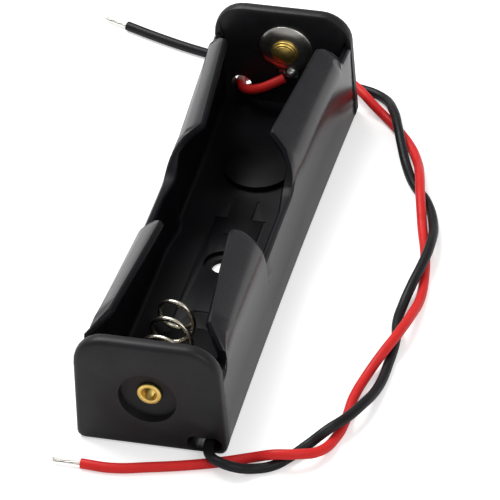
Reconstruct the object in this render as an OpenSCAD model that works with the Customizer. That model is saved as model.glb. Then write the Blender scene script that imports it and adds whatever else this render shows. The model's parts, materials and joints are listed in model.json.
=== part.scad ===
// Open holder for one cylindrical cell, with a conical spring contact, a riveted button contact
// and two free leads. X is across, Y runs from the spring end (-Y) to the button end (+Y), Z is up.
// The origin is at the middle of the underside.

/* [Body] */
// Length over the end plates
body_l = 77; // [72:0.5:84]
// Width over the end plates, at the underside
body_w = 20.7; // [20:0.1:23]
// Height of the end plates
body_h = 17.4; // [17:0.1:20]
// Thickness of the end plates
plate_t = 2; // [1.6:0.1:2.6]
// Thickness of the floor
floor_t = 1.3; // [1:0.1:2]
// Thickness of the side walls and tabs
wall_t = 1.1; // [0.9:0.05:1.4]
// Draft of the side walls, each side, over the full height
draft = 0.33; // [0:0.01:0.5]
// Radius of the end plates' upper corners
plate_top_r = 4.5; // [3:0.1:6]
// Radius of the end plates' lower corners
plate_low_r = 1.1; // [1:0.05:2]
// Rounding of the end plates' outer edges
plate_edge_r = 0.8; // [0.3:0.05:0.9]
// Set-back of the side walls behind the end plates' edges
wall_inset = 0.15; // [0.05:0.01:0.4]

/* [Side walls] */
// Height of the low middle walls
low_wall_z = 10.6; // [8:0.1:12]
// Inward bow of the walls at mid-length, at the underside
bow_low = 0.35; // [0:0.05:0.8]
// Inward bow of the walls at mid-length, at the top of the low walls
bow_high = 0.8; // [0:0.05:1.2]
// Height of the bottom of the slot beside the spring end plate
slot_near_z = 11.3; // [9:0.1:12.5]
// Height of the bottom of the slot beside the button end plate
slot_far_z = 12.6; // [9:0.1:13]
// Width of the slot beside the spring end plate
slot_near_w = 3.1; // [2.5:0.1:5]
// Width of the slot beside the button end plate
slot_far_w = 5; // [3:0.1:6]
// Radius at the bottom of the slots
slot_r = 1.4; // [0.5:0.1:1.5]
// How far the grip ribs stand out from the walls' inner faces
grip_t = 0.6; // [0.2:0.1:0.8]
// Length of the grip ribs along the walls
grip_l = 4.4; // [3:0.2:6]
// Distance of the grip ribs from the middle
grip_y = 5.2; // [4:0.1:7]

/* [Tabs] */
// Distance from one tab to the next along a side
tab_pitch = 42; // [41:0.5:44]
// Length of a tab's edge, without its slanted end
tab_l = 20.1; // [18:0.1:21]
// Slope of a tab's slanted end, from level
tab_slant = 47; // [40:1:60]
// Rounding of the far tab's outer corner
tab_far_r = 2.6; // [0.5:0.1:3]
// Rounding of the near tab's outer corner
tab_near_r = 1.2; // [0.5:0.1:3]
// Blend from the far tab's slant into the low wall
tab_blend_r = 4; // [1:0.5:6]
// Half the gap between opposite tabs where they come closest
tab_gap = 4.95; // [4.5:0.05:7]
// Half the gap between opposite tabs at the end plates
tab_gap_end = 7.4; // [6:0.1:8]

/* [Floor] */
// Radius of the screw hole
hole_r = 1.5; // [1:0.1:2]
// Radius of the screw head's recess
hole_head_r = 2.6; // [2.2:0.1:3.2]
// Depth of the screw head's recess
hole_head_t = 0.6; // [0.3:0.1:0.8]
// Place of the screw hole along the floor
hole_y = -0.6; // [-3:0.1:3]
// Radius of the round floor pads
pad_r = 4.8; // [3:0.1:6]
// Height of the round floor pads
pad_t = 0.8; // [0.3:0.1:1]
// Distance of the pads from the middle
pad_y = 20.4; // [18:0.1:22]

/* [Contacts] */
// Height of the spring's eyelet
neg_z = 8.5; // [8:0.1:10]
// Height of the button contact
pos_z = 11.2; // [9:0.1:12]
// Sideways place of the button contact
pos_x = 0.5; // [-1:0.1:1]
// Radius of the recess round the eyelet
recess_r = 4; // [3:0.1:4.5]
// Depth of the recess round the eyelet
recess_t = 1.3; // [0.6:0.1:1.3]
// Outer radius of the rivets' shanks
shank_r = 1.3; // [1.1:0.05:1.5]
// Wall of the eyelet
eyelet_wall = 0.28; // [0.2:0.02:0.4]
// Radius of the eyelet's rolled rim
eyelet_rim_r = 1.68; // [1.5:0.02:2]
// Thickness of the plated tags
tag_t = 0.3; // [0.2:0.05:0.4]
// Radius of the positive tag's domed disc
disc_r = 3.9; // [3.5:0.1:4.5]
// Rise of the dome
disc_rise = 0.7; // [0.3:0.1:1.2]
// Width of the solder tabs
tag_w = 2.4; // [1.5:0.1:3]
// Reach of the solder tabs below the rivet
tag_reach = 5; // [4.5:0.1:5.5]
// Height of the button above the disc
button_h = 1.1; // [0.8:0.1:2]
// Radius of the button's base
button_r = 1.95; // [1.7:0.05:2.2]
// Radius of the button's front
button_front_r = 1.4; // [1:0.05:1.6]

/* [Spring] */
// Diameter of the spring wire
wire_d = 0.65; // [0.5:0.05:0.8]
// Radius of the widest coil, at the wire's centre
coil_base_r = 4.1; // [3.5:0.1:4.5]
// Radius of the end coil, at the wire's centre
coil_tip_r = 2.4; // [2:0.1:3]
// Free length of the spring
spring_l = 15; // [12:0.5:18]
// Number of rising coils
coils = 3; // [2:0.5:6]
// Rise of the free end towards the cell's axis
spring_lean = 1; // [0:0.1:2]
// Sideways drift of the free end
spring_drift = -0.3; // [-1:0.1:1]

/* [Leads] */
// Outer diameter of a lead
lead_d = 1.4; // [1:0.1:1.8]
// Diameter of the stripped strands
strand_d = 0.55; // [0.4:0.05:0.9]
// Length of the stripped strands
strand_l = 4.1; // [2:0.1:6]
// Width of the opening that the black lead leaves through
exit_near_w = 4.8; // [3:0.1:5.5]
// Height of that opening
exit_near_h = 2.3; // [2:0.1:3]
// Sideways place of that opening
exit_near_x = 7.4; // [6:0.1:7.6]
// Height of that opening's middle
exit_near_z = 1.8; // [1.5:0.1:2.5]
// Radius of the hole that the red lead leaves through
exit_far_r = 1.5; // [1:0.1:2]
// Sideways place of that hole
exit_far_x = -6.5; // [-7.5:0.1:-5]
// Height of that hole's middle
exit_far_z = 3.9; // [3:0.1:5]

/* [Hidden] */

eps = 0.01;
seat = 0.02;                       // clearance of pieces that seat on each other
end_y = body_l / 2;
in_y = end_y - plate_t;            // inner faces of the end plates
side_n = 7;                        // steps up a side wall's section
step_w = 0.02;                     // run of the tabs' upright ends
groove = 0.2;                      // depth and width of the groove where a wall meets an end plate
plate_back_r = 0.5;                // rounding of the end plates' inner upper edges
bend_r_end = 2.1;                  // radius of a tab's curl at the end plates
bend_r_mid = 6;                    // radius of a tab's curl where it leans in most
curl_z_end = body_h - 3.8;         // where the curl starts at the end plates
curl_end = 52;                     // angle of a tab's leaf at the end plates
curl_mid = 56;                     // and where it leans in most
tab_far_y = in_y - slot_far_w;     // the far tab's far end
tab_near_y = tab_far_y - tab_pitch;
tab_top_z = body_h - 0.2;          // the tabs' ends are cut up to here
lean_y = 11;                       // the tabs lean in most this far from the middle
edge_n = 3;                        // steps round the rim's small corners
tab_n = 5;                         // and round the far tab's outer corner and slot
solder_r = 1.1;
exit_lobe = 0.1;                   // how far the near opening's round ends stand past its middle

// The route points of the leads, from the soldered end to the stripped end
black_route = [
    [1.6, -35.4, 4.2], [2.9, -34, 3.8], [4.6, -32.9, 3.4], [6.6, -32.8, 2.8], [8, -34.2, 2.3],
    [8.2, -36.3, 1.9], [8, -38.5, 1.8], [9, -41.1, 2.1], [10.6, -42.1, 2.2], [12.6, -42.1, 1.7],
    [14.7, -40.9, 0.8], [16.9, -39.8, 0.7], [18.8, -37.6, 0.7], [20.6, -35, 0.9], [22.9, -33, 2.2],
    [24.7, -30.3, 2.2], [26.1, -26.9, 1.9], [27.1, -21.8, 0.9], [27.3, -16.4, 0.7], [27.1, -11.1, 0.7],
    [26.5, -7.8, 0.7], [26.5, -4.2, 0.8], [27, -0.8, 1.7], [27.6, 3.5, 2.2], [27.7, 7.7, 2.1],
    [26.9, 13.1, 1.1], [24.7, 18.6, 0.7], [22.1, 22.1, 0.7], [20, 26.3, 0.7], [18.7, 29.3, 1.6],
    [17.5, 32.4, 2.2], [15.9, 36.5, 2], [13.2, 40.9, 0.8], [10.6, 42.2, 0.7], [5, 43, 0.7],
    [-2, 44.1, 0.7], [-9, 45.6, 0.7], [-16.6, 47.4, 0.7], [-22.8, 49.4, 0.7], [-27.8, 51.3, 0.7]];
red_route = [
    [0.3, 35.2, 6.8], [-1.2, 34.5, 6.2], [-3.2, 34.1, 5.3], [-5.4, 34.7, 4.5], [-6.5, 36.4, 4.1],
    [-6.9, 38.6, 3.3], [-5.7, 41.6, 2.1], [-2.6, 44, 2.2], [0.8, 45, 2.1], [4.6, 44.6, 2], [8.9, 41.3, 2.2],
    [10.7, 39.5, 2.2], [12.6, 38, 1.5], [14.7, 36.5, 0.7], [17.5, 33.4, 0.7], [19.7, 30.5, 0.7],
    [21.4, 27.2, 0.8], [22.9, 22.3, 2], [23.8, 18.6, 2.2], [24.6, 15.6, 1.8], [25.4, 12.7, 0.8],
    [27, 7.3, 0.7], [28, 2.4, 0.7], [28.5, -2.4, 0.7], [28.3, -7.2, 1.6], [27.6, -12, 2.2],
    [26.5, -15.8, 2], [25.1, -19.5, 0.9], [24.3, -24.3, 0.7], [24.3, -28.9, 0.7], [23.9, -32.5, 0.7],
    [22.5, -36.6, 1.4], [19.9, -38.6, 2.2], [17.1, -39.2, 2.2], [14, -39, 1], [10.9, -40, 0.7],
    [6.8, -41.5, 0.7], [1.1, -43.1, 0.7], [-3.8, -44.2, 0.7], [-8.1, -44.1, 0.7]];

// ---- shared forms ----

// A closed solid through rings of points that all have the same count
module loft(rings) {
    n = len(rings[0]);
    m = len(rings);
    polyhedron(
        points = [for (r = rings) for (p = r) p],
        faces = concat(
            [[for (i = [n - 1 : -1 : 0]) i]],
            [for (k = [0 : m - 2]) for (i = [0 : n - 1]) for (half = [0, 1])
                let (a = k * n + i, b = k * n + (i + 1) % n)
                half == 0 ? [b, a + n, a] : [b + n, a + n, b]],
            [[for (i = [0 : n - 1]) (m - 1) * n + i]]),
        convexity = 8);
}

// Points of an arc about c from angle a to angle b
function arc(c, r, a, b, n) = [for (k = [0 : n]) let (t = a + (b - a) * k / n) c + r * [cos(t), sin(t)]];
function unit(v) = v / norm(v);
function clamp(v, lo, hi) = min(max(v, lo), hi);
function mix(a, b, t) = a + (b - a) * t;

// Rings of a round tube along the points of a line, each square to the line there
function tube(line, r, sides) = [for (k = [0 : len(line) - 1])
    let (dir = unit(line[min(k + 1, len(line) - 1)] - line[max(k - 1, 0)]),
         side = unit(cross(dir, abs(dir.z) > 0.9 ? [1, 0, 0] : [0, 0, 1])), up = cross(side, dir))
    [for (i = [0 : sides - 1]) let (t = 360 * (i + 0.5) / sides) line[k] + r * (cos(t) * side + sin(t) * up)]];

// Turns a form drawn about Z so that it stands out along +Y at height z, from the plane y
module along_y(y, z, x = 0) translate([x, y, z]) rotate([-90, 0, 0]) children();

// ---- holder body ----

// Half outline of an end plate, from its underside up the side and over the top, set in by e, with its
// upper edge set in by top_e
function plate_half(e, top_e) =
    let (wl = body_w / 2 - e, wt = body_w / 2 - draft - e, h = body_h - top_e,
         rt = plate_top_r - e, rl = max(plate_low_r - e, 0.2), low = e + rl, high = h - rt, arc_k = side_n + 1)
    concat(
        arc([wl - rl, low], rl, -90, 0, 3),
        [for (k = [1 : side_n]) [mix(wl, wt, k / side_n), mix(low, high - 0.2, k / side_n)]],
        arc([wt - rt, high], rt, 0, 90, arc_k),
        [for (k = [1 : 4]) [(wt - rt) * (1 - k / 5), h]]);

// A whole ring at y from one half's points
function ring(half, y) = concat(
    [for (p = half) [p.x, y, p.y]], [for (i = [len(half) - 1 : -1 : 0]) [-half[i].x, y, half[i].y]]);

// Rings of an end plate from its inner to its outer face; s is the end that it stands at
function plate_rings(s) = concat(
    [for (a = [0, 45, 90]) ring(plate_half(0, plate_back_r * (1 - sin(a))),
        s * (in_y + plate_back_r * (1 - cos(a))))],
    [for (a = [0, 30, 60, 90]) let (e = plate_edge_r * (1 - cos(a)))
        ring(plate_half(e, e), s * (end_y - plate_edge_r * (1 - sin(a))))]);

// The rim of a side wall seen from the side: slots, tabs and the low middle wall, from -Y to +Y
function rim() =
    let (near_foot = -in_y + slot_near_w, near_tip = tab_near_y - tab_l, far_tip = tab_far_y - tab_l,
         run = (tab_top_z - low_wall_z) / tan(tab_slant), bend = tab_blend_r * tan(tab_slant / 2),
         near_z = tab_top_z - 0.6)
    concat(
        [[-in_y, slot_near_z], [-in_y + groove, slot_near_z]],
        arc([near_foot - slot_r, slot_near_z + slot_r], slot_r, -90, 0, edge_n),
        [[near_foot + step_w, tab_top_z - (near_tip - near_foot) * tan(tab_slant)],
         [near_tip, tab_top_z], [tab_near_y - 2.5, tab_top_z]],
        arc([tab_near_y - tab_near_r, near_z - tab_near_r], tab_near_r, 90, 0, edge_n),
        [[tab_near_y + step_w, low_wall_z]],
        arc([far_tip - run - bend, low_wall_z + tab_blend_r], tab_blend_r, 270, 270 + tab_slant, edge_n),
        [[far_tip, tab_top_z]],
        arc([tab_far_y - tab_far_r, tab_top_z - tab_far_r], tab_far_r, 90, 0, tab_n),
        arc([tab_far_y + step_w + slot_r, slot_far_z + slot_r], slot_r, 180, 270, tab_n),
        [[in_y - groove, slot_far_z], [in_y, slot_far_z]]);

// The same line with more points on its long stretches, closest by the grip ribs
function finer(line, gap) = concat(
    [for (k = [0 : len(line) - 2])
        let (a = line[k], b = line[k + 1], by_grip = abs((a.x + b.x) / 2 - grip_y) < grip_l,
             n = max(1, ceil((b.x - a.x) / (by_grip ? grip_l / 6 : gap))))
        for (i = [0 : n - 1]) mix(a, b, i / n)],
    [line[len(line) - 1]]);

// How far a section lies from the end plates (0) towards where the tabs lean in most (1)
function leaning(y) = clamp((in_y - abs(y)) / (in_y - lean_y), 0, 1);
function bow(y) = 1 - pow(min(abs(y) / in_y, 1), 2);

// Depth of the groove that sets the shell off from the end plates, at section y
function groove_at(y) = max(abs(y) - in_y + groove, 0);

// Half-width of the straight wall at height z of section y, outside
function wall_x(y, z) =
    body_w / 2 - wall_inset - groove_at(y) - draft * z / body_h
    - bow(y) * mix(bow_low, bow_high, z / low_wall_z);

// A section's curl: where it starts, its radius, its angle, and the height of the tab's edge
function curl(y) =
    let (s = leaning(y), z0 = mix(curl_z_end, low_wall_z - 0.2, s), r = mix(bend_r_end, bend_r_mid, s),
         a = mix(curl_end, curl_mid, s), x = wall_x(y, z0) - r * (1 - cos(a)),
         tip_z = z0 + r * sin(a) + (x - mix(tab_gap_end, tab_gap, s)) / tan(a))
    [z0, r, a, tip_z];

// Thickness of the wall at section y, with the grip rib's half-round swell
function thick(y) = wall_t + grip_t * sqrt(max(0, 1 - pow(2 * (y - grip_y) / grip_l, 2)));

// Half-width at height z of section y, t in from the wall's outside
function side_x(y, z, t) =
    let (c = curl(y), z0 = c[0], r = c[1] - t, a = c[2], x0 = wall_x(y, z0) - c[1])
    z < z0 ? wall_x(y, z) - t
    : z < z0 + r * sin(a) ? x0 + sqrt(r * r - (z - z0) * (z - z0))
    : x0 + r * cos(a) - (z - z0 - r * sin(a)) * tan(a);

// Angle of the wall's outer face above level, at height z of section y
function face_angle(y, z) = let (c = curl(y)) z < c[0] ? 0 : min(asin(min((z - c[0]) / c[1], 1)), c[2]);

// One side's section at y with its rim at height h: from the floor's middle out, up the outside, over the
// rounded rim and down the inside
function half_section(y, h) =
    let (top = min(h, curl(y)[3]), a = face_angle(y, top), up = [-sin(a), cos(a)], out = [cos(a), sin(a)],
         t = thick(y),
         tip = [side_x(y, top, 0), top], soft = 0.25, low_r = 0.7,
         out_top = tip - up * soft, in_top = out_top - out * t, in_low = floor_t + low_r)
    concat(
        arc([wall_x(y, low_r) - low_r, low_r + groove_at(y)], low_r, -90, 0, 3),
        [for (k = [1 : side_n - 1]) let (z = mix(low_r + groove, out_top.y, pow(k / side_n, 0.7))) [side_x(y, z, 0), z]],
        [out_top, tip - out * soft, tip - out * (t - soft), in_top],
        [for (k = [side_n - 1 : -1 : 1]) let (z = mix(in_low, in_top.y, pow(k / side_n, 0.7))) [side_x(y, z, t), z]],
        arc([wall_x(y, in_low) - t - low_r, in_low], low_r, 0, -90, 3));

// The whole moulding: end plate, sections along the floor, low walls and tabs, and the other end plate
module shell() {
    first = plate_rings(-1);
    loft(concat(
        [for (k = [len(first) - 1 : -1 : 0]) first[k]],
        [for (p = finer(rim(), 3.2)) ring(half_section(p.x, p.y), p.x)],
        plate_rings(1)));
}

// The moulded outline of a cell, with a plus at its nub and a minus at its other end
module cell_mark() {
    w = 7.2;
    top = 9.3;
    low = -15.8;
    nub_w = 3.4;
    nub_h = 4.2;
    line = 0.3;
    depth = 0.15;
    translate([0, 0, floor_t - depth]) linear_extrude(1) {
        for (s = [-1, 1]) {
            translate([s * w / 2 - line / 2, low]) square([line, top - low]);
            translate([s * nub_w / 2 - line / 2, top]) square([line, nub_h]);
            translate([s * (w + nub_w) / 4 - (w - nub_w) / 4, top - line]) square([(w - nub_w) / 2, line]);
        }
        translate([-w / 2, low]) square([w, line]);
        translate([0, 5.6]) for (a = [0, 90]) rotate(a) square([2.6, 0.45], center = true);
        translate([0, -11.5]) square([2.6, 0.45], center = true);
    }
}

module holder_body() color([0.03, 0.03, 0.035]) difference() {
    union() {
        shell();
        for (s = [-1, 1]) translate([0, s * pad_y, floor_t - eps]) cylinder(r = pad_r, h = pad_t + eps, $fn = 48);
    }
    // screw hole with its head recess
    translate([0, hole_y, -1]) cylinder(r = hole_r, h = floor_t + 2, $fn = 36);
    translate([0, hole_y, floor_t - hole_head_t]) cylinder(r = hole_head_r, h = 2, $fn = 48);
    cell_mark();
    // rivet holes and the outer recess
    along_y(-end_y - 1, neg_z) cylinder(r = shank_r + seat, h = plate_t + 2, $fn = 36);
    along_y(-end_y - 1, neg_z) cylinder(r = recess_r, h = recess_t + 1, $fn = 48);
    along_y(in_y - 1, pos_z, pos_x) cylinder(r = shank_r + seat, h = plate_t + 2, $fn = 36);
    along_y(end_y - recess_t, pos_z, pos_x) cylinder(r = recess_r, h = recess_t + 1, $fn = 48);
    // lead openings
    for (s = [-1, 1]) along_y(-end_y - 1, exit_near_z, exit_near_x + s * (exit_near_w - exit_near_h) / 2)
        cylinder(r = exit_near_h / 2, h = plate_t + 1.6, $fn = 36);
    translate([exit_near_x - (exit_near_w - exit_near_h) / 2, -end_y - 1, exit_near_z - exit_near_h / 2 + exit_lobe])
        cube([exit_near_w - exit_near_h, plate_t + 1.6, exit_near_h - 2 * exit_lobe]);
    along_y(in_y - 0.6, exit_far_z, exit_far_x) cylinder(r = exit_far_r, h = plate_t + 1.6, $fn = 36);
}

// ---- contacts ----

// A rolled rim outside, a tube through the plate and the tag, and a flange over the spring's eye
module negative_eyelet() color([0.83, 0.66, 0.25]) {
    stack = plate_t - recess_t + tag_t + wire_d + 3 * seat;
    r = shank_r;
    bore = r - eyelet_wall;
    flange = 0.25;
    rim = 0.3;
    along_y(-end_y + recess_t, neg_z) rotate_extrude($fn = 48) polygon([
        [bore, -rim - 0.1], [bore + 0.12, -rim - 0.18], [eyelet_rim_r - 0.15, -rim - 0.1],
        [eyelet_rim_r, -rim + 0.1], [eyelet_rim_r, -seat], [r, -seat], [r, stack],
        [r + 0.95, stack], [r + 0.95, stack + flange], [bore + 0.1, stack + flange], [bore, stack + flange - 0.1]]);
}

// A flat disc with a straight solder tab below the rivet
module tag_tab(t) translate([-tag_w / 2, -tag_reach, 0]) cube([tag_w, tag_reach - shank_r - 0.5, t]);

module negative_tag() color([0.75, 0.73, 0.68])
    along_y(-in_y + seat, neg_z) mirror([0, 1, 0]) difference() {
        union() {
            cylinder(r = disc_r * 0.7, h = tag_t, $fn = 48);
            tag_tab(tag_t);
        }
        translate([0, 0, -1]) cylinder(r = shank_r + seat, h = 3, $fn = 36);
    }

// The dome's profile at height t over its back: from the hole over the flat top and down to the rim
function dome(t) =
    let (flat_r = button_r + 0.25)
    [[shank_r + seat, disc_rise + t], [flat_r, disc_rise + t], [(flat_r + disc_r) / 2, disc_rise * 0.72 + t],
     [disc_r - 0.3, disc_rise * 0.3 + t], [disc_r, t]];
function reversed(list) = [for (i = [len(list) - 1 : -1 : 0]) list[i]];

module positive_tag() color([0.78, 0.76, 0.7])
    translate([pos_x, in_y - seat, pos_z]) rotate([90, 0, 0]) {
        rotate_extrude($fn = 60) polygon(concat(dome(0), reversed(dome(tag_t))));
        translate([-tag_w / 2, -tag_reach, 0]) cube([tag_w, tag_reach - disc_r + 0.3, tag_t]);
    }

// A stepped button in front of the disc, a shank through the plate and a closed head in the outer recess
module positive_rivet() color([0.83, 0.66, 0.25])
    translate([pos_x, in_y, pos_z]) rotate([90, 0, 0]) rotate_extrude($fn = 48) {
        front = disc_rise + tag_t + 2 * seat;
        back = -(plate_t - recess_t) - seat;
        step_r = (button_front_r + button_r) / 2;
        soft = 0.15;
        polygon([
            [0, front + button_h], [button_front_r - soft, front + button_h], [button_front_r, front + button_h - soft],
            [button_front_r, front + button_h * 0.62], [step_r, front + button_h * 0.58],
            [step_r, front + button_h * 0.34], [button_r, front + button_h * 0.3],
            [button_r, front], [shank_r, front], [shank_r, back],
            [eyelet_rim_r, back], [eyelet_rim_r, back - 0.25], [eyelet_rim_r - 0.2, back - 0.4], [0, back - 0.4]]);
    }

// The wire's centre line: an eye round the eyelet, a flat spiral out, then a cone of coils to a flat end coil
module negative_spring() color([0.8, 0.77, 0.68]) {
    per_turn = 20;
    eye_r = shank_r + wire_d / 2 + seat;
    spiral = 1;
    flat_end = 0.5;
    base_y = -in_y + tag_t + 2 * seat + wire_d / 2;
    tip_y = -in_y + spring_l - wire_d / 2;
    total = spiral + coils + flat_end;
    line = [for (k = [0 : round(total * per_turn)])
        let (turn = k / per_turn, rise = clamp((turn - spiral) / coils, 0, 1),
             r = turn < spiral ? mix(eye_r, coil_base_r, turn / spiral)
                               : mix(coil_base_r, coil_tip_r, pow(rise, 0.8)),
             a = 360 * turn + 150)
        [spring_drift * rise * rise + r * cos(a), mix(base_y, tip_y, pow(rise, 0.7)),
         neg_z + spring_lean * rise * rise + r * sin(a)]];
    loft(tube(line, wire_d / 2, 8));
}

// A small dome of solder over a lead's end
module solder(at) translate(at) sphere(r = solder_r, $fn = 20);

module negative_solder() color([0.7, 0.7, 0.7]) intersection() {
    solder([tag_w / 4, -in_y + tag_t + 2 * seat, neg_z - tag_reach + solder_r]);
    translate([-5, -in_y + tag_t + 2 * seat, 0]) cube([10, 5, body_h]);
}

module positive_solder() color([0.7, 0.7, 0.7]) intersection() {
    solder([pos_x + tag_w / 4, in_y - tag_t - 2 * seat, pos_z - tag_reach + solder_r]);
    translate([-5, in_y - tag_t - 2 * seat - 5, 0]) cube([10, 5, body_h]);
}

// ---- leads ----

module lead(route) loft(tube(route, lead_d / 2, 8));

// Stripped strands that carry on straight from the lead's last two points
module strands(route) {
    last = route[len(route) - 1];
    dir = unit(last - route[len(route) - 2]);
    loft(tube([last, last + dir * strand_l * 0.6, last + dir * strand_l], strand_d / 2, 8));
}

module black_lead() color([0.05, 0.05, 0.05]) lead(black_route);
module red_lead() color([0.85, 0.08, 0.08]) lead(red_route);
module black_strands() color([0.72, 0.72, 0.74]) strands(black_route);
module red_strands() color([0.72, 0.72, 0.74]) strands(red_route);

holder_body();
negative_spring();
negative_eyelet();
negative_tag();
negative_solder();
positive_rivet();
positive_tag();
positive_solder();
black_lead();
black_strands();
red_lead();
red_strands();
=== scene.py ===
"""Dresses the holder for one cylindrical cell: moulded body, contacts, spring and its two leads.

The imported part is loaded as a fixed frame, and every piece is built in that frame, in metres: X is across,
Y runs from the spring end to the button end, and Z is up from the surface that the holder stands on.
"""

from __future__ import annotations

import json
import logging
import math
from dataclasses import dataclass
from enum import Enum

import bpy
from mathutils import Matrix, Vector

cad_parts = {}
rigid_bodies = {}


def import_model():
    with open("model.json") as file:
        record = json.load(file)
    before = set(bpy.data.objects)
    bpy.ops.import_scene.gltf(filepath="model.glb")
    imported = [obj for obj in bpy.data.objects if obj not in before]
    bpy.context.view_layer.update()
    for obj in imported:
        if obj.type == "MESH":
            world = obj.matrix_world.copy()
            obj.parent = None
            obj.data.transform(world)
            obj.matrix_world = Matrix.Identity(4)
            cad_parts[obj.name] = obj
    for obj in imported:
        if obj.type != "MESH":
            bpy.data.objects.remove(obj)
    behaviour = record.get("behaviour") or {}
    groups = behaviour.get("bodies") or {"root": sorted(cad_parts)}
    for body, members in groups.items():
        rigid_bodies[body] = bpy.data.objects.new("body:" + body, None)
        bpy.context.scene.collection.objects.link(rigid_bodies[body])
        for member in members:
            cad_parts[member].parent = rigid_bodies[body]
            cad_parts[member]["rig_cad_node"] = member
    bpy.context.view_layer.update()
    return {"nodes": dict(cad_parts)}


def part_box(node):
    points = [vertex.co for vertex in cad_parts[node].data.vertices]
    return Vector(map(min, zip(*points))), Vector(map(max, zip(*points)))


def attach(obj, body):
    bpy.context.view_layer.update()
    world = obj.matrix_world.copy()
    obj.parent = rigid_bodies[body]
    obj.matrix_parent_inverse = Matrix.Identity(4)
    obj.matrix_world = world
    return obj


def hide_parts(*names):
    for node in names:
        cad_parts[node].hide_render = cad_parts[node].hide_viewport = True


LOG = logging.getLogger("holder")
MM = 0.001
BODY = "root"

Colour = tuple[float, float, float]
Point = tuple[float, float, float]


class Slot(Enum):
    """The record's material slots."""

    BLACK_PLASTIC = "black_plastic"
    PLATED_WIRE = "plated_wire"
    PLATED_SHEET = "plated_sheet"
    BRASS = "brass"
    SOLDER = "solder"
    BLACK_INSULATION = "black_insulation"
    RED_INSULATION = "red_insulation"
    TINNED_COPPER = "tinned_copper"


# ---- work on objects, as at the bench ----


def put_down() -> None:
    """Leaves edit mode and deselects everything."""
    if bpy.context.object and bpy.context.object.mode != "OBJECT":
        bpy.ops.object.mode_set(mode="OBJECT")
    bpy.ops.object.select_all(action="DESELECT")


def pick_up(piece: bpy.types.Object) -> bpy.types.Object:
    """Makes a piece the only selected and the active object.

    Args:
        piece: The object to work on.

    Returns:
        The same object.
    """
    put_down()
    piece.select_set(True)
    bpy.context.view_layer.objects.active = piece
    return piece


def settle(piece: bpy.types.Object) -> None:
    """Moves a piece's place, turn and size into its mesh, so that its object sits at the origin."""
    pick_up(piece)
    bpy.ops.object.transform_apply(location=True, rotation=True, scale=True)


def finish_with(piece: bpy.types.Object, kind: str, **settings: object) -> None:
    """Adds a modifier and applies it.

    Args:
        piece: The mesh object to change.
        kind: The modifier's type, such as "BEVEL".
        **settings: The modifier's settings by name.
    """
    pick_up(piece)
    modifier = piece.modifiers.new(kind.title(), kind)
    for name, value in settings.items():
        setattr(modifier, name, value)
    bpy.ops.object.modifier_apply(modifier=modifier.name)


def soften(piece: bpy.types.Object, degrees: float = 35) -> None:
    """Shades a piece smooth except across edges sharper than an angle."""
    pick_up(piece)
    bpy.ops.object.shade_smooth_by_angle(angle=math.radians(degrees))


def hand_over(
    piece: bpy.types.Object, material: bpy.types.Material, node: str
) -> None:
    """Gives a finished piece its finish and its place in the frame.

    Args:
        piece: The finished piece.
        material: Its material, where it has none yet.
        node: The CAD node that it stands for.
    """
    if not piece.data.materials:
        piece.data.materials.append(material)
    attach(piece, BODY)
    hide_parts(node)
    LOG.info("made %s", piece.name)


def merged_copy(node: bpy.types.Object, name: str) -> bpy.types.Object:
    """Copies a CAD node as one closed mesh of merged corners.

    Args:
        node: The CAD node, which is left as it is.
        name: The copy's name.

    Returns:
        The copy, with no materials of its own.
    """
    piece = bpy.data.objects.new(name, node.data.copy())
    bpy.context.scene.collection.objects.link(piece)
    piece.data.materials.clear()
    pick_up(piece)
    bpy.ops.object.mode_set(mode="EDIT")
    bpy.ops.mesh.select_all(action="SELECT")
    bpy.ops.mesh.remove_doubles(threshold=0.002 * MM)
    bpy.ops.mesh.tris_convert_to_quads(face_threshold=math.radians(3), shape_threshold=math.radians(60))
    bpy.ops.object.mode_set(mode="OBJECT")
    if piece.data.has_custom_normals:
        bpy.ops.mesh.customdata_custom_splitnormals_clear()
    return piece


@dataclass(frozen=True)
class Lathe:
    """Turns a profile about a line that runs along Y.

    Attributes:
        height: The line's height.
        across: The line's sideways place.
        steps: Facets round a full turn.
    """

    height: float
    across: float = 0.0
    steps: int = 96

    def turn(self, name: str, profile: list[tuple[float, float]]) -> bpy.types.Object:
        """Turns a closed profile into a ring or disc.

        Args:
            name: The new piece's name.
            profile: Corners as (radius, y), in order round the profile.

        Returns:
            The turned piece.
        """
        put_down()
        radius, y = profile[0]
        bpy.ops.mesh.primitive_plane_add(size=0.1 * MM, location=(self.across + radius, y, self.height))
        piece = bpy.context.object
        piece.name = name
        settle(piece)
        bpy.ops.object.mode_set(mode="EDIT")
        bpy.ops.mesh.select_all(action="SELECT")
        bpy.ops.mesh.merge(type="CENTER")
        for (r0, y0), (r1, y1) in zip(profile, profile[1:] + profile[:1]):
            bpy.ops.mesh.extrude_region_move(TRANSFORM_OT_translate={"value": (r1 - r0, y1 - y0, 0)})
        bpy.ops.mesh.select_all(action="SELECT")
        centre = (self.across, y, self.height)
        bpy.ops.mesh.spin(steps=self.steps, angle=math.tau, center=centre, axis=(0, 1, 0))
        bpy.ops.mesh.select_all(action="SELECT")
        bpy.ops.mesh.remove_doubles(threshold=0.005 * MM)
        bpy.ops.mesh.normals_make_consistent(inside=False)
        bpy.ops.object.mode_set(mode="OBJECT")
        return piece


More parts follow.
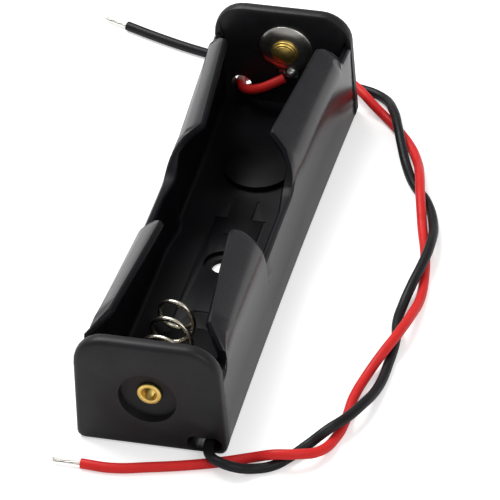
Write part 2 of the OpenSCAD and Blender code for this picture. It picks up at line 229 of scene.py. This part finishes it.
def rounded(corners: list[tuple[float, float, float]], steps: int = 5) -> list[tuple[float, float]]:
    """Rounds the corners of a closed profile.

    Args:
        corners: (radius, y, rounding) of each corner; a rounding of 0 leaves it sharp.
        steps: Steps round each corner.

    Returns:
        The rounded profile's points.
    """
    points: list[tuple[float, float]] = []
    for k, (x, y, size) in enumerate(corners):
        here = Vector((x, y))
        before = Vector(corners[k - 1][:2]) - here
        after = Vector(corners[(k + 1) % len(corners)][:2]) - here
        if size <= 0:
            points.append((x, y))
            continue
        reach = min(size, 0.49 * before.length, 0.49 * after.length)
        start = here + before.normalized() * reach
        end = here + after.normalized() * reach
        for i in range(steps + 1):
            t = i / steps
            p = start * (1 - t) ** 2 + here * 2 * t * (1 - t) + end * t * t
            points.append((p.x, p.y))
    return points


def drawn_wire(name: str, points: list[Point], radius: float, resolution: int = 6) -> bpy.types.Object:
    """Draws a round wire through points, in metres, as one smooth open curve.

    Args:
        name: The wire's name.
        points: The points on its centre line.
        radius: Half its diameter.
        resolution: Steps from one point to the next.

    Returns:
        The curve object.
    """
    curve = bpy.data.curves.new(name, "CURVE")
    curve.dimensions = "3D"
    curve.bevel_depth = radius
    curve.bevel_resolution = 6
    curve.resolution_u = resolution
    curve.render_resolution_u = resolution
    curve.use_fill_caps = True
    spline = curve.splines.new("BEZIER")
    spline.bezier_points.add(len(points) - 1)
    for knot, place in zip(spline.bezier_points, points):
        knot.co = place
        knot.handle_left_type = "AUTO"
        knot.handle_right_type = "AUTO"
    wire = bpy.data.objects.new(name, curve)
    bpy.context.scene.collection.objects.link(wire)
    return wire


def as_mesh(wire: bpy.types.Object) -> bpy.types.Object:
    """Turns a curve into a closed mesh."""
    pick_up(wire)
    bpy.ops.object.convert(target="MESH")
    piece = bpy.context.object
    bpy.ops.object.mode_set(mode="EDIT")
    bpy.ops.mesh.select_all(action="SELECT")
    bpy.ops.mesh.remove_doubles(threshold=0.001 * MM)
    bpy.ops.mesh.normals_make_consistent(inside=False)
    bpy.ops.object.mode_set(mode="OBJECT")
    return piece


# ---- finishes ----


class Graph:
    """A material's nodes, with short ways to add and join them."""

    def __init__(self, name: str) -> None:
        """Starts a material of that name with an empty graph."""
        self.material = bpy.data.materials.new(name)
        self.material.use_nodes = True
        self.tree = self.material.node_tree
        self.tree.nodes.clear()

    def add(self, kind: str, inputs: dict[str, object] | None = None, **settings: object) -> bpy.types.Node:
        """Adds a node.

        Args:
            kind: The node's type, without "ShaderNode".
            inputs: Values or output sockets for its input sockets by name.
            **settings: The node's own settings.

        Returns:
            The new node.
        """
        node = self.tree.nodes.new("ShaderNode" + kind)
        for name, value in settings.items():
            setattr(node, name, value)
        for name, value in (inputs or {}).items():
            if isinstance(value, bpy.types.NodeSocket):
                self.tree.links.new(value, node.inputs[name])
            else:
                node.inputs[name].default_value = value
        return node

    def noise(self, size: float, detail: float = 3) -> bpy.types.NodeSocket:
        """Adds noise whose features are about size metres across, fixed to the object.

        Args:
            size: Width of the features.
            detail: Number of finer layers.

        Returns:
            The noise's value socket.
        """
        place = self.add("TexCoord").outputs["Object"]
        return self.add("TexNoise", {"Vector": place, "Scale": 1 / size, "Detail": detail}).outputs["Fac"]

    def spread(self, value: bpy.types.NodeSocket, low: float, high: float) -> bpy.types.NodeSocket:
        """Maps noise's middle range to a range of numbers.

        Args:
            value: The noise.
            low: The number where the noise is 0.3.
            high: The number where it is 0.7.

        Returns:
            The mapped value's socket.
        """
        inputs = {"Value": value, "From Min": 0.3, "From Max": 0.7, "To Min": low, "To Max": high}
        return self.add("MapRange", inputs).outputs["Result"]

    def tint(self, value: bpy.types.NodeSocket, dark: Colour, light: Colour) -> bpy.types.NodeSocket:
        """Blends two colours by noise.

        Args:
            value: The noise.
            dark: The colour where it is low.
            light: The colour where it is high.

        Returns:
            The colour's socket.
        """
        ramp = self.add("ValToRGB", {"Fac": value})
        for stop, place, colour in zip(ramp.color_ramp.elements, (0.3, 0.7), (dark, light)):
            stop.position = place
            stop.color = (*colour, 1)
        return ramp.outputs["Color"]

    def finish(self, shader: bpy.types.Node) -> bpy.types.Material:
        """Joins the shader to the output and returns the material."""
        output = self.add("OutputMaterial")
        self.tree.links.new(shader.outputs[0], output.inputs["Surface"])
        return self.material


@dataclass(frozen=True)
class Plastic:
    """A moulded or extruded plastic.

    Attributes:
        name: The material's name.
        dark: Its colour where it is darkest.
        light: Its colour where it is lightest.
        smooth: Roughness of its smoothest spots.
        rough: Roughness of its roughest spots.
        specular: Strength of its reflections.
        grain: Width of its grain, in metres.
        relief: Height of its grain, in metres.
    """

    name: str
    dark: Colour
    light: Colour
    smooth: float
    rough: float
    specular: float = 0.5
    grain: float = 0.15 * MM
    relief: float = 0.002 * MM

    def material(self) -> bpy.types.Material:
        """Builds the material."""
        graph = Graph(self.name)
        cloud = graph.noise(3 * MM)
        fine = graph.noise(self.grain, detail=2)
        bump = graph.add("Bump", {"Height": fine, "Strength": 0.6, "Distance": self.relief})
        shader = graph.add("BsdfPrincipled", {
            "Base Color": graph.tint(cloud, self.dark, self.light),
            "Roughness": graph.spread(fine, self.smooth, self.rough),
            "Specular IOR Level": self.specular,
            "Normal": bump.outputs["Normal"],
        })
        return graph.finish(shader)


@dataclass(frozen=True)
class Metal:
    """A bare or plated metal.

    Attributes:
        name: The material's name.
        dull: Its colour where it is tarnished.
        bright: Its colour where it is clean.
        smooth: Roughness of its smoothest spots.
        rough: Roughness of its roughest spots.
        grain: Width of its spots, in metres.
        relief: Height of its unevenness, in metres.
    """

    name: str
    dull: Colour
    bright: Colour
    smooth: float
    rough: float
    grain: float = 0.3 * MM
    relief: float = 0.003 * MM

    def material(self) -> bpy.types.Material:
        """Builds the material."""
        graph = Graph(self.name)
        spots = graph.noise(self.grain)
        bump = graph.add("Bump", {"Height": spots, "Strength": 0.5, "Distance": self.relief})
        shader = graph.add("BsdfPrincipled", {
            "Base Color": graph.tint(graph.noise(self.grain * 4), self.dull, self.bright),
            "Metallic": 1.0,
            "Roughness": graph.spread(spots, self.smooth, self.rough),
            "Normal": bump.outputs["Normal"],
        })
        return graph.finish(shader)


GLOSSY_BLACK = Plastic("glossy_black_plastic", (0.006, 0.006, 0.008), (0.010, 0.010, 0.013), 0.18, 0.28)
SATIN_BLACK = Plastic("satin_black_plastic", (0.006, 0.006, 0.007), (0.010, 0.010, 0.012), 0.38, 0.52,
                      specular=0.3, grain=0.2 * MM, relief=0.006 * MM)
# Painted shade: the tray's inside is the same plastic as the walls, but its darker colour and weak
# reflections stand in for the shade inside the tray.
INNER_PAINTED_SHADE_BLACK = Plastic("inner_black_plastic_painted_shade", (0.002, 0.002, 0.003), (0.004, 0.004, 0.006), 0.36, 0.48,
                      specular=0.15)
RED_VINYL = Plastic("red_vinyl", (0.60, 0.018, 0.018), (0.68, 0.024, 0.022), 0.38, 0.48,
                    specular=0.2, grain=0.3 * MM, relief=0.004 * MM)
BLACK_VINYL = Plastic("black_vinyl", (0.006, 0.006, 0.007), (0.010, 0.010, 0.012), 0.38, 0.48,
                      specular=0.22, grain=0.3 * MM, relief=0.004 * MM)
BRASS = Metal("brass", (0.78, 0.54, 0.14), (0.92, 0.68, 0.22), 0.36, 0.44, relief=0.001 * MM)
NICKEL = Metal("nickel_plate", (0.58, 0.56, 0.52), (0.72, 0.70, 0.66), 0.28, 0.32, relief=0.0002 * MM)
WIRE_PLATE = Metal("plated_spring_wire", (0.60, 0.56, 0.46), (0.78, 0.74, 0.64), 0.22, 0.28,
                   relief=0.001 * MM)
SOLDER = Metal("dull_solder", (0.50, 0.50, 0.50), (0.66, 0.66, 0.67), 0.28, 0.42, relief=0.01 * MM)
TINNED = Metal("tinned_copper", (0.55, 0.52, 0.48), (0.72, 0.70, 0.67), 0.26, 0.38, grain=0.15 * MM)


# ---- view, light and ground ----


@dataclass
class Studio:
    """The camera, the lamps and the pale floor.

    Attributes:
        azimuth: The camera's turn round the holder, in degrees.
        elevation: Its angle above the horizon, in degrees.
        roll: Its turn about its own axis, in degrees.
        place: Where it stands.
        lens: Its focal length, in millimetres of a 36 mm sensor.
        pale: The floor's colour level.
        lift: How much whiter than lit the floor shows to the camera.
    """

    azimuth: float = 16.57
    elevation: float = 38.84
    roll: float = -3.74
    place: Point = (0.1556, -0.5096, 0.4318)
    lens: float = 356.2
    pale: float = 0.86
    lift: float = 0.44

    def set_camera(self) -> None:
        """Places the scene's camera."""
        data = bpy.data.cameras.new("camera")
        data.lens = self.lens
        data.sensor_width = 36
        data.clip_start = 0.01
        data.clip_end = 20
        camera = bpy.data.objects.new("camera", data)
        bpy.context.scene.collection.objects.link(camera)
        turns = (
            Matrix.Rotation(math.radians(self.azimuth), 4, "Z")
            @ Matrix.Rotation(math.radians(90 - self.elevation), 4, "X")
            @ Matrix.Rotation(math.radians(self.roll), 4, "Z")
        )
        camera.matrix_world = Matrix.Translation(self.place) @ turns
        bpy.context.scene.camera = camera

    def add_lamp(self, name: str, place: Point, size: float, watts: float) -> None:
        """Adds a square lamp that faces the holder.

        Args:
            name: The lamp's name.
            place: Where it hangs.
            size: Length of its side.
            watts: Its power.
        """
        data = bpy.data.lights.new(name, "AREA")
        data.size = size
        data.energy = watts
        lamp = bpy.data.objects.new(name, data)
        bpy.context.scene.collection.objects.link(lamp)
        lamp.location = place
        lamp.rotation_euler = (-Vector(place)).to_track_quat("-Z", "Y").to_euler()

    def light_sky(self, strength: float) -> None:
        """Lights the scene evenly from all sides, and shows white to the camera.

        Args:
            strength: The even light's level.
        """
        world = bpy.data.worlds.new("sky")
        bpy.context.scene.world = world
        world.use_nodes = True
        tree = world.node_tree
        tree.nodes.clear()
        rays = tree.nodes.new("ShaderNodeLightPath")
        level = tree.nodes.new("ShaderNodeMapRange")
        level.inputs["To Min"].default_value = strength
        level.inputs["To Max"].default_value = 1.0
        tree.links.new(rays.outputs["Is Camera Ray"], level.inputs["Value"])
        sky = tree.nodes.new("ShaderNodeBackground")
        tree.links.new(level.outputs["Result"], sky.inputs["Strength"])
        output = tree.nodes.new("ShaderNodeOutputWorld")
        tree.links.new(sky.outputs[0], output.inputs["Surface"])

    def lay_floor(self) -> None:
        """Lays the pale floor, which shows white and keeps the holder's shadow."""
        put_down()
        bpy.ops.mesh.primitive_plane_add(size=6, location=(0, 0, 0))
        floor = bpy.context.object
        floor.name = "floor"
        graph = Graph("pale_floor")
        rays = graph.add("LightPath")
        lift = graph.add("Math", {0: rays.outputs["Is Camera Ray"], 1: self.lift}, operation="MULTIPLY")
        matt = graph.add("BsdfDiffuse", {"Color": (self.pale, self.pale, self.pale, 1)})
        glow = graph.add("Emission", {"Strength": lift.outputs[0]})
        both = graph.add("AddShader", {0: matt.outputs[0], 1: glow.outputs[0]})
        floor.data.materials.append(graph.finish(both))

    def build(self) -> None:
        """Sets up the camera, lamps, sky and floor."""
        bpy.context.scene.view_settings.view_transform = "Standard"
        self.set_camera()
        self.add_lamp("key", (-0.30, 0.20, 0.60), 0.40, 4.2)
        self.add_lamp("fill", (0.45, -0.35, 0.55), 0.50, 1.6)
        self.light_sky(0.55)
        self.lay_floor()


# ---- leads ----


@dataclass
class Lead:
    """One insulated lead with stripped, twisted strands at its free end.

    Attributes:
        colour: The lead's colour name, which starts its node names.
        insulation: The insulation's finish.
        slot: The record's slot of the insulation; not used.
        route: Points on its centre line from the soldered to the free end, in millimetres.
        length: Its real length, in metres; not used.
        diameter: Outer diameter of the insulation.
        strand_length: Length of the stripped strands.
        strand_count: Number of strands round the middle one.
    """

    colour: str
    insulation: Plastic
    slot: Slot
    route: list[Point]
    length: float
    diameter: float = 1.4 * MM
    strand_length: float = 4.1 * MM
    strand_count: int = 6

    def make_insulation(self) -> bpy.types.Object:
        """Draws the insulation along the route."""
        points = [(x * MM, y * MM, z * MM) for x, y, z in self.route]
        return drawn_wire(f"{self.colour}_lead_insulation", points, self.diameter / 2, resolution=8)

    def make_strands(self) -> bpy.types.Object:
        """Twists thin strands round a straight one, from just inside the insulation outwards.

        Returns:
            The bundle, as one mesh.
        """
        end = Vector(self.route[-1]) * MM
        along = (end - Vector(self.route[-2]) * MM).normalized()
        side = along.cross(Vector((0, 0, 1))).normalized()
        up = side.cross(along)
        thin = self.diameter * 0.065
        ring = thin * 1.9
        steps = 14
        strands = []
        for k in range(self.strand_count + 1):
            radius = ring if k < self.strand_count else 0.0
            points = []
            for i in range(steps + 1):
                t = i / steps
                turn = math.tau * (k / self.strand_count + 0.55 * t)
                flare = radius * (1 + 0.2 * t * t)
                place = end + along * (self.strand_length * t * (1 - 0.04 * (k % 3)) - 0.3 * MM * (1 - t))
                place += (side * math.cos(turn) + up * math.sin(turn)) * flare
                points.append(tuple(place))
            strands.append(as_mesh(drawn_wire(f"{self.colour}_strand_{k}", points, thin, resolution=3)))
        put_down()
        for strand in strands:
            strand.select_set(True)
        bpy.context.view_layer.objects.active = strands[0]
        bpy.ops.object.join()
        bundle = bpy.context.object
        bundle.name = f"{self.colour}_lead_strands"
        soften(bundle, 60)
        return bundle

    def build(self) -> None:
        insulation = self.make_insulation()
        strands = self.make_strands()
        hand_over(insulation, self.insulation.material(), f"{self.colour}_lead")
        hand_over(strands, TINNED.material(), f"{self.colour}_strands")


# ---- moulded body ----


@dataclass
class Moulding:
    """The one-piece black moulding with its end plates, tray and curled tabs.

    Attributes:
        node: The CAD node that gives its shape.
        plate: Thickness of the end plates.
        edge: Rounding of its sharp edges.
        tray: Half-width of the strip along the middle that holds no outer wall.
    """

    node: bpy.types.Object
    plate: float = 2.0 * MM
    edge: float = 0.10 * MM
    tray: float = 4.5 * MM

    def choose_finish(self, face: bpy.types.MeshPolygon, inner_end: float) -> int:
        """Chooses a face's finish by its place.

        Args:
            face: The face.
            inner_end: How far the end plates' inner faces lie from the middle.

        Returns:
            0 for the polished outer walls and tabs, 1 for the end plates, 2 for the tray's inside, whose
            darker colour and weaker reflections are painted shade.
        """
        x, y, _ = face.center
        if abs(y) > inner_end - 0.01 * MM:
            return 1
        outward = face.normal.x * (1 if x > 0 else -1)
        return 0 if outward > 0.05 and abs(x) > self.tray else 2

    def build(self) -> None:
        """Copies the CAD shape, rounds its edges and finishes its faces."""
        low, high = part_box("holder_body")
        inner_end = (high.y - low.y) / 2 - self.plate
        body = merged_copy(self.node, "moulded_body")
        finish_with(body, "BEVEL", width=self.edge, segments=2, limit_method="ANGLE",
                    angle_limit=math.radians(40), use_clamp_overlap=True, harden_normals=False)
        soften(body, 32)
        # The third finish paints the shade inside the tray.
        for finish in (GLOSSY_BLACK, SATIN_BLACK, INNER_PAINTED_SHADE_BLACK):
            body.data.materials.append(finish.material())
        for face in body.data.polygons:
            face.material_index = self.choose_finish(face, inner_end)
        hand_over(body, body.data.materials[0], "holder_body")


# ---- contacts ----


@dataclass
class SpringContact:
    """The conical spring of the negative end with its eyelet, tag and solder.

    Attributes:
        height: Height of the eyelet's axis.
        wire: Diameter of the spring's wire.
        base_radius: Radius of the widest coil.
        tip_radius: Radius of the end coil.
        coils: Number of rising coils.
        end_turn: Turns of the flat end coil.
        start: Angle of the eye's start about the axis, in degrees.
        lean: Rise of the free end.
        drift: Sideways drift of the free end.
        shank: Outer radius of the eyelet's tube.
        wall: Wall of the eyelet's tube.
        roll: Radius of the eyelet's rolled rim.
        seat: Clearance between stacked parts.
    """

    height: float = 8.5 * MM
    wire: float = 0.65 * MM
    base_radius: float = 4.1 * MM
    tip_radius: float = 2.4 * MM
    coils: float = 3.0
    end_turn: float = 0.5
    start: float = 150
    lean: float = 1.0 * MM
    drift: float = -0.3 * MM
    shank: float = 1.3 * MM
    wall: float = 0.28 * MM
    roll: float = 1.68 * MM
    seat: float = 0.02 * MM

    def make_spring(self) -> bpy.types.Object:
        """Winds the spring: an eye round the eyelet, a flat spiral, rising coils and a flat end coil."""
        low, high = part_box("negative_spring")
        base, tip = low.y + self.wire / 2, high.y - self.wire / 2
        per_turn = 20
        eye = self.shank + self.wire / 2 + self.seat
        total = 1 + self.coils + self.end_turn
        points = []
        for k in range(round(total * per_turn) + 1):
            turn = k / per_turn
            rise = min(max((turn - 1) / self.coils, 0), 1)
            if turn < 1:
                radius = eye + (self.base_radius - eye) * turn
            else:
                radius = self.base_radius + (self.tip_radius - self.base_radius) * rise**0.8
            angle = math.tau * turn + math.radians(self.start)
            points.append((
                self.drift * rise**2 + radius * math.cos(angle),
                base + (tip - base) * rise**0.7,
                self.height + self.lean * rise**2 + radius * math.sin(angle),
            ))
        spring = as_mesh(drawn_wire("conical_spring", points, self.wire / 2, resolution=3))
        soften(spring, 50)
        return spring

    def make_eyelet(self) -> bpy.types.Object:
        """Turns the eyelet with its rolled rim outside and its flange inside."""
        low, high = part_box("negative_eyelet")
        rim = (high.x - low.x) / 2
        bore = self.shank - self.wall
        outer = low.y + 0.48 * MM
        profile = rounded([
            (bore, low.y + 0.10 * MM, 0.10 * MM),
            (bore + 0.22 * MM, low.y, 0.2 * MM),
            (self.roll, low.y + 0.06 * MM, 0.18 * MM),
            (self.roll, outer - self.seat, 0.14 * MM),
            (self.shank, outer - self.seat, 0),
            (self.shank, high.y - 0.25 * MM, 0),
            (rim, high.y - 0.25 * MM, 0.08 * MM),
            (rim, high.y, 0.12 * MM),
            (bore + 0.08 * MM, high.y, 0.1 * MM),
            (bore, high.y - 0.12 * MM, 0.1 * MM),
        ])
        eyelet = Lathe(self.height).turn("spring_eyelet", profile)
        soften(eyelet)
        return eyelet

    def make_tag(self) -> bpy.types.Object:
        """Rounds the stamped tag's edges."""
        tag = merged_copy(frame_node("negative_tag"), "spring_tag")
        finish_with(tag, "BEVEL", width=0.05 * MM, segments=2, limit_method="ANGLE")
        soften(tag)
        return tag

    def build(self) -> None:
        """Makes the contact's pieces."""
        hand_over(self.make_spring(), WIRE_PLATE.material(), "negative_spring")
        hand_over(self.make_eyelet(), BRASS.material(), "negative_eyelet")
        hand_over(self.make_tag(), NICKEL.material(), "negative_tag")
        hand_over(solder_joint("negative_solder", 1), SOLDER.material(), "negative_solder")


@dataclass
class ButtonContact:
    """The domed disc and riveted button of the positive end.

    Attributes:
        height: Height of the rivet's axis.
        across: Sideways place of the rivet's axis.
        rise: Rise of the disc's dome.
        sheet: Thickness of the disc.
        button: Radius of the button's base.
        face: Radius of the button's front face.
        hole: Radius of the disc's hole.
        shank: Radius of the rivet's shank.
        head: Radius of the rivet's closed head.
        tab_width: Width of the solder tab.
    """

    height: float = 11.2 * MM
    across: float = 0.5 * MM
    rise: float = 0.7 * MM
    sheet: float = 0.3 * MM
    button: float = 1.95 * MM
    face: float = 1.4 * MM
    hole: float = 1.32 * MM
    shank: float = 1.3 * MM
    head: float = 1.68 * MM
    tab_width: float = 2.4 * MM

    def make_disc(self) -> bpy.types.Object:
        """Turns the domed disc and joins its solder tab to it."""
        low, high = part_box("positive_tag")
        rim = (high.x - low.x) / 2
        back = high.y
        flat = self.button + 0.25 * MM
        middle = (flat + rim) / 2
        front = self.rise + self.sheet
        profile = rounded([
            (self.hole, back - self.rise, 0),
            (flat, back - self.rise, 0.3 * MM),
            (middle, back - self.rise * 0.72, 0.3 * MM),
            (rim - 0.3 * MM, back - self.rise * 0.3, 0.2 * MM),
            (rim, back, 0.04 * MM),
            (rim, back - self.sheet, 0.1 * MM),
            (rim - 0.3 * MM, back - self.rise * 0.3 - self.sheet, 0.2 * MM),
            (middle, back - self.rise * 0.72 - self.sheet, 0.4 * MM),
            (flat, back - front, 0.4 * MM),
            (self.hole, back - front, 0),
        ], steps=6)
        disc = Lathe(self.height, self.across).turn("button_disc", profile)
        put_down()
        bpy.ops.mesh.primitive_cube_add(size=1, location=(self.across, back - self.sheet / 2, 0))
        tab = bpy.context.object
        tab.name = "solder_tab"
        top = self.height - rim + 0.3 * MM
        tab.location.z = (low.z + top) / 2
        tab.scale = (self.tab_width, self.sheet, top - low.z)
        settle(tab)
        finish_with(tab, "BEVEL", width=0.06 * MM, segments=3)
        put_down()
        tab.select_set(True)
        disc.select_set(True)
        bpy.context.view_layer.objects.active = disc
        bpy.ops.object.join()
        soften(disc)
        return disc

    def make_rivet(self) -> bpy.types.Object:
        """Turns the stepped button, its shank and its closed head outside."""
        low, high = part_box("positive_rivet")
        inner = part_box("positive_tag")[0].y
        middle = (self.face + self.button) / 2
        head_in = high.y - 0.4 * MM
        profile = rounded([
            (0.02 * MM, low.y, 0),
            (self.face * 0.55, low.y + 0.07 * MM, 0.5 * MM),
            (self.face, low.y + 0.38 * MM, 0.2 * MM),
            (self.face, inner - 0.68 * MM, 0.06 * MM),
            (middle, inner - 0.64 * MM, 0.1 * MM),
            (middle, inner - 0.38 * MM, 0.06 * MM),
            (self.button, inner - 0.34 * MM, 0.12 * MM),
            (self.button, inner - 0.02 * MM, 0.05 * MM),
            (self.shank, inner - 0.02 * MM, 0),
            (self.shank, head_in, 0),
            (self.head, head_in, 0.05 * MM),
            (self.head, head_in + 0.24 * MM, 0.14 * MM),
            (self.head - 0.25 * MM, high.y, 0.2 * MM),
            (0.7 * MM, high.y, 0.1 * MM),
            (0.5 * MM, high.y - 0.15 * MM, 0.1 * MM),
            (0.02 * MM, high.y - 0.18 * MM, 0),
        ])
        rivet = Lathe(self.height, self.across).turn("button_rivet", profile)
        soften(rivet)
        return rivet

    def build(self) -> None:
        """Makes the contact's pieces."""
        hand_over(self.make_disc(), NICKEL.material(), "positive_tag")
        hand_over(self.make_rivet(), BRASS.material(), "positive_rivet")
        hand_over(solder_joint("positive_solder", -1), SOLDER.material(), "positive_solder")


def frame_node(name: str) -> bpy.types.Object:
    """Finds a CAD node of the loaded frame by name."""
    return next(o for o in bpy.data.objects if o.get("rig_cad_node") == name)


def solder_joint(node: str, inward: int) -> bpy.types.Object:
    """Shapes a small cone-sided heap of solder that wets the tag round its foot.

    Args:
        node: The CAD node that it stands for.
        inward: 1 where the tag faces +Y, or -1.

    Returns:
        The heap.
    """
    low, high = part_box(node)
    centre = (low + high) / 2
    foot = low.y if inward > 0 else high.y
    radius = (high.x - low.x) / 2
    put_down()
    bpy.ops.mesh.primitive_ico_sphere_add(subdivisions=5, radius=radius, location=(centre.x, foot, centre.z))
    heap = bpy.context.object
    heap.name = node.replace("_", "_end_") + "_joint"
    settle(heap)
    bpy.ops.object.mode_set(mode="EDIT")
    bpy.ops.mesh.select_all(action="SELECT")
    bpy.ops.mesh.bisect(plane_co=(0, foot, 0), plane_no=(0, inward, 0), use_fill=True, clear_inner=True)
    bpy.ops.object.mode_set(mode="OBJECT")
    height = high.y - low.y
    for corner in heap.data.vertices:
        share = abs(corner.co.y - foot) / radius
        waist = 1 - 0.22 * math.sin(math.pi * min(share, 1))
        corner.co.x = centre.x + (corner.co.x - centre.x) * waist
        corner.co.z = centre.z + (corner.co.z - centre.z) * waist
        corner.co.y = foot + inward * min(share * radius, height)
    texture = bpy.data.textures.new(f"{node}_unevenness", "CLOUDS")
    texture.noise_scale = 0.7 * MM
    finish_with(heap, "DISPLACE", texture=texture, strength=0.05 * MM, texture_coords="LOCAL", mid_level=1.0)
    soften(heap, 60)
    return heap


# ---- the leads' routes ----

BLACK_ROUTE: list[Point] = [
    (1.6, -35.4, 4.2), (2.9, -34, 3.8), (4.6, -32.9, 3.4), (6.6, -32.8, 2.8), (8, -34.2, 2.3),
    (8.2, -36.3, 1.9), (8, -38.5, 1.8), (9, -41.1, 2.1), (10.6, -42.1, 2.2), (12.6, -42.1, 1.7),
    (14.7, -40.9, 0.8), (16.9, -39.8, 0.7), (18.8, -37.6, 0.7), (20.6, -35, 0.9), (22.9, -33, 2.2),
    (24.7, -30.3, 2.2), (26.1, -26.9, 1.9), (27.1, -21.8, 0.9), (27.3, -16.4, 0.7), (27.1, -11.1, 0.7),
    (26.5, -7.8, 0.7), (26.5, -4.2, 0.8), (27, -0.8, 1.7), (27.6, 3.5, 2.2), (27.7, 7.7, 2.1),
    (26.9, 13.1, 1.1), (24.7, 18.6, 0.7), (22.1, 22.1, 0.7), (20, 26.3, 0.7), (18.7, 29.3, 1.6),
    (17.5, 32.4, 2.2), (15.9, 36.5, 2), (13.2, 40.9, 0.8), (10.6, 42.2, 0.7), (5, 43, 0.7), (-2, 44.1, 0.7),
    (-9, 45.6, 0.7), (-16.6, 47.4, 0.7), (-22.8, 49.4, 0.7), (-27.8, 51.3, 0.7),
]

RED_ROUTE: list[Point] = [
    (0.3, 35.2, 6.8), (-1.2, 34.5, 6.2), (-3.2, 34.1, 5.3), (-5.4, 34.7, 4.5), (-6.5, 36.4, 4.1),
    (-6.9, 38.6, 3.3), (-5.7, 41.6, 2.1), (-2.6, 44, 2.2), (0.8, 45, 2.1), (4.6, 44.6, 2), (8.9, 41.3, 2.2),
    (10.7, 39.5, 2.2), (12.6, 38, 1.5), (14.7, 36.5, 0.7), (17.5, 33.4, 0.7), (19.7, 30.5, 0.7),
    (21.4, 27.2, 0.8), (22.9, 22.3, 2), (23.8, 18.6, 2.2), (24.6, 15.6, 1.8), (25.4, 12.7, 0.8),
    (27, 7.3, 0.7), (28, 2.4, 0.7), (28.5, -2.4, 0.7), (28.3, -7.2, 1.6), (27.6, -12, 2.2),
    (26.5, -15.8, 2), (25.1, -19.5, 0.9), (24.3, -24.3, 0.7), (24.3, -28.9, 0.7), (23.9, -32.5, 0.7),
    (22.5, -36.6, 1.4), (19.9, -38.6, 2.2), (17.1, -39.2, 2.2), (14, -39, 1), (10.9, -40, 0.7),
    (6.8, -41.5, 0.7), (1.1, -43.1, 0.7), (-3.8, -44.2, 0.7), (-8.1, -44.1, 0.7),
]


def main() -> None:
    """Builds the holder piece by piece."""
    logging.basicConfig(level=logging.INFO, format="%(name)s: %(message)s")
    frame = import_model()
    Studio().build()
    Lead("black", BLACK_VINYL, Slot.BLACK_INSULATION, BLACK_ROUTE, length=0.156).build()
    Lead("red", RED_VINYL, Slot.RED_INSULATION, RED_ROUTE, length=0.150).build()
    Moulding(frame["nodes"]["holder_body"]).build()
    SpringContact().build()
    ButtonContact().build()
    put_down()
    LOG.info("boxes written")


if __name__ == "__main__":
    main()
